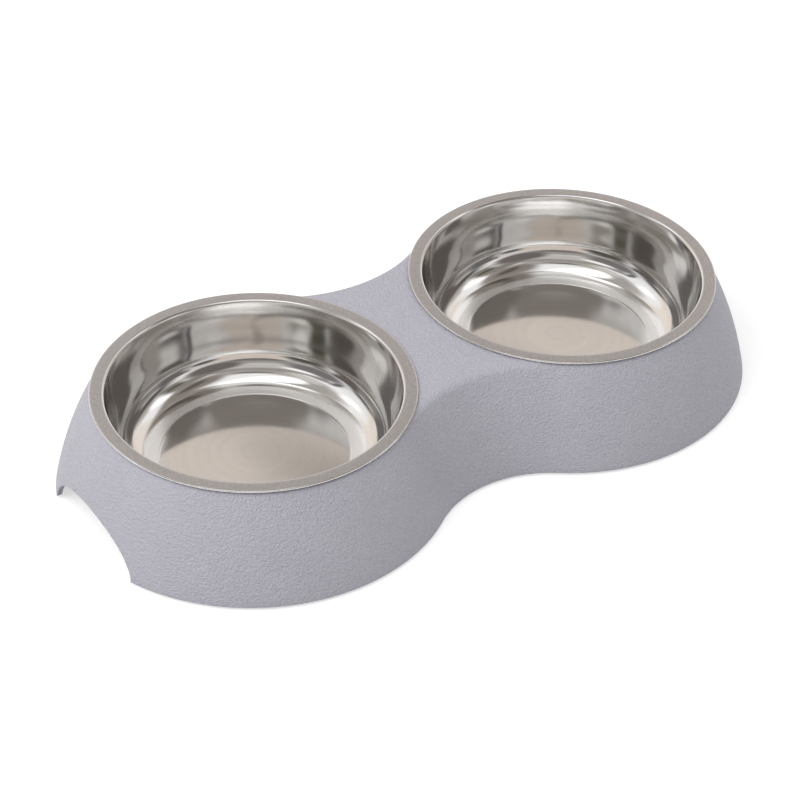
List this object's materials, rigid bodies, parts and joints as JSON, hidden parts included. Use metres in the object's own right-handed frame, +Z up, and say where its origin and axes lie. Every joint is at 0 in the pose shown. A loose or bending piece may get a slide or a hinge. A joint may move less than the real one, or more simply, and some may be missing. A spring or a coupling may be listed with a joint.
{
  "type": "double pet bowl",
  "caption": "Figure-of-eight moulded stand with lift-out pressed steel feeding bowls, finger notches in its ends and rubber feet.",
  "frame": {"origin": "centre of the stand's footprint, on the ground that the feet stand on", "axes": "+X along the stand towards the right bowl, +Y towards the back, +Z up"},
  "size_m": [0.3734, 0.1984, 0.0563],
  "materials": {
    "stand_plastic": "matte with a fine leather grain",
    "bowl_steel": "polished inside, satin rim face",
    "foot_rubber": "matte"
  },
  "bodies": {
    "stand": {"stand": "stand_plastic", "foot_left_front": "foot_rubber", "foot_left_back": "foot_rubber", "foot_waist_front": "foot_rubber", "foot_waist_back": "foot_rubber", "foot_right_front": "foot_rubber", "foot_right_back": "foot_rubber"},
    "left_bowl": {"left_bowl": "bowl_steel"},
    "right_bowl": {"right_bowl": "bowl_steel"}
  },
  "joints": [
    {"name": "left_bowl_lift", "type": "slide", "parent": "stand", "child": "left_bowl", "axis": [0, 0, 1], "range_m": [0, 0.06]},
    {"name": "right_bowl_lift", "type": "slide", "parent": "stand", "child": "right_bowl", "axis": [0, 0, 1], "range_m": [0, 0.06]}
  ]
}
